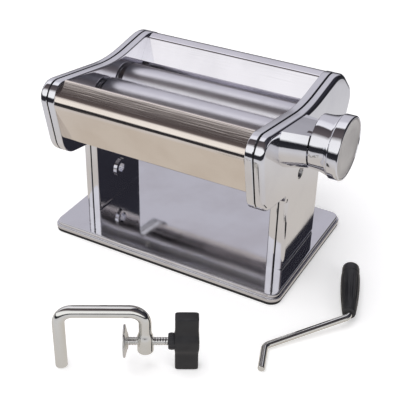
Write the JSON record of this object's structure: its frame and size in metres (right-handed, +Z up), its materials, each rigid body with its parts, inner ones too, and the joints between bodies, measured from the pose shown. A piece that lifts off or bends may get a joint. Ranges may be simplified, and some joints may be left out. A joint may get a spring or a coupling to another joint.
{
  "type": "pasta roller machine",
  "caption": "Hand-cranked pasta roller machine with smooth rollers, a pull-and-turn thickness knob, a flat base, a table clamp and a loose crank.",
  "frame": {"origin": "centre of the base's underside, on the table", "axes": "+X across the machine towards the setting knob, +Y to the back, +Z up"},
  "size_m": [0.2625, 0.289, 0.1523],
  "materials": {
    "polished_chrome": "mirror polish",
    "guard_steel": "polished stainless with a warm tone",
    "roller_steel": "ground and polished",
    "gear_steel": "machined",
    "bright_screw": "bright zinc",
    "bronze_bush": "sintered bronze",
    "satin_cap": "satin",
    "spring_steel": "spring wire",
    "black_rubber": "matt",
    "seam_black": "matt",
    "black_plastic": "moulded, slight sheen",
    "nickel_rod": "nickel plated",
    "zinc_block": "plain zinc"
  },
  "bodies": {
    "frame": {"base_plate": "polished_chrome", "base_pad": "black_rubber", "base_screws": "bright_screw", "left_foot_block": "zinc_block", "right_foot_block": "zinc_block", "left_frame_plate": "polished_chrome", "right_frame_plate": "polished_chrome", "left_cover": "polished_chrome", "right_cover": "polished_chrome", "left_seam_strip": "seam_black", "right_seam_strip": "seam_black", "left_cover_screws": "bright_screw", "right_cover_screws": "bright_screw", "front_guard": "guard_steel", "rear_guard": "guard_steel", "tie_rods": "gear_steel", "tie_rod_screws": "bright_screw", "clamp_socket": "polished_chrome", "dial_collar": "polished_chrome", "collar_screws": "bright_screw", "knob_shaft_bush": "bronze_bush", "rear_roller_bushes": "bronze_bush", "front_axle_bushes": "bronze_bush", "drive_shaft_bushes": "bronze_bush", "rear_scraper": "gear_steel"},
    "rear_roller": {"rear_roller": "roller_steel", "rear_roller_gear": "gear_steel", "drive_gear": "gear_steel"},
    "drive_shaft": {"drive_shaft": "gear_steel", "drive_pinion": "gear_steel"},
    "knob_shaft": {"knob_shaft": "gear_steel", "knob_pinion": "gear_steel", "knob_retainer": "bright_screw"},
    "knob": {"knob_body": "polished_chrome", "knob_cap": "satin_cap", "knob_pin": "bright_screw", "knob_spring": "spring_steel"},
    "front_axle": {"front_axle": "gear_steel", "setting_sector": "gear_steel"},
    "front_carrier": {"left_cheek": "gear_steel", "right_cheek": "gear_steel", "front_scraper": "gear_steel"},
    "front_roller": {"front_roller": "roller_steel", "front_roller_gear": "gear_steel"},
    "clamp": {"clamp_rod": "nickel_rod"},
    "clamp_pad": {"clamp_disc": "bright_screw"},
    "clamp_screw": {"clamp_screw": "bright_screw", "wing_knob": "black_plastic"},
    "crank": {"crank_rod": "nickel_rod", "grip_washer": "bright_screw"},
    "crank_grip": {"crank_grip": "black_plastic"}
  },
  "joints": [
    {"name": "rear_roller_spin", "type": "hinge", "parent": "frame", "child": "rear_roller", "pos_m": [0, 0.0162, 0.109], "axis": [1, 0, 0], "continuous": true},
    {"name": "drive_shaft_spin", "type": "hinge", "parent": "frame", "child": "drive_shaft", "pos_m": [0, -0.01189, 0.08625], "axis": [1, 0, 0], "continuous": true},
    {"name": "knob_turn", "type": "hinge", "parent": "frame", "child": "knob_shaft", "pos_m": [0, -0.03457, 0.1293], "axis": [1, 0, 0], "range_deg": [-300, 0]},
    {"name": "knob_pull", "type": "slide", "parent": "knob_shaft", "child": "knob", "axis": [1, 0, 0], "range_m": [0, 0.004], "stiffness_N_per_m": 500, "springref_m": -0.004, "deforming": ["knob_spring"]},
    {"name": "front_axle_turn", "type": "hinge", "parent": "frame", "child": "front_axle", "pos_m": [0, -0.01733, 0.10723], "axis": [1, 0, 0], "range_deg": [0, 65.27]},
    {"name": "carrier_turn", "type": "hinge", "parent": "front_axle", "child": "front_carrier", "pos_m": [0, -0.0162, 0.109], "axis": [1, 0, 0], "range_deg": [-65.27, 0]},
    {"name": "front_roller_spin", "type": "hinge", "parent": "front_carrier", "child": "front_roller", "pos_m": [0, -0.0162, 0.109], "axis": [1, 0, 0], "continuous": true},
    {"name": "clamp_lift", "type": "slide", "parent": "frame", "child": "clamp", "axis": [0, 0, 1], "range_m": [0, 0.15]},
    {"name": "clamp_pad_slide", "type": "slide", "parent": "clamp", "child": "clamp_pad", "axis": [0.866, 0.5, 0], "range_m": [-0.009, 0.005]},
    {"name": "clamp_screw_turn", "type": "hinge", "parent": "clamp_pad", "child": "clamp_screw", "pos_m": [0.0005, -0.197, 0.022], "axis": [0.866, 0.5, 0], "range_deg": [-1002, 1802]},
    {"name": "crank_lift", "type": "slide", "parent": "frame", "child": "crank", "axis": [0, 0, 1], "range_m": [0, 0.08]},
    {"name": "crank_grip_spin", "type": "hinge", "parent": "crank", "child": "crank_grip", "pos_m": [0.156, -0.058, 0.0077], "axis": [-0.3256, 0.9455, 0], "continuous": true}
  ],
  "couplings": [
    {"joint": "drive_shaft_spin", "follows": "rear_roller_spin", "ratio": -1.1818},
    {"joint": "front_roller_spin", "follows": "rear_roller_spin", "ratio": -1},
    {"joint": "front_axle_turn", "follows": "knob_turn", "ratio": -0.21739},
    {"joint": "carrier_turn", "follows": "knob_turn", "ratio": 0.21739},
    {"joint": "clamp_screw_turn", "follows": "clamp_pad_slide", "rad_per_m": -3490.7}
  ]
}
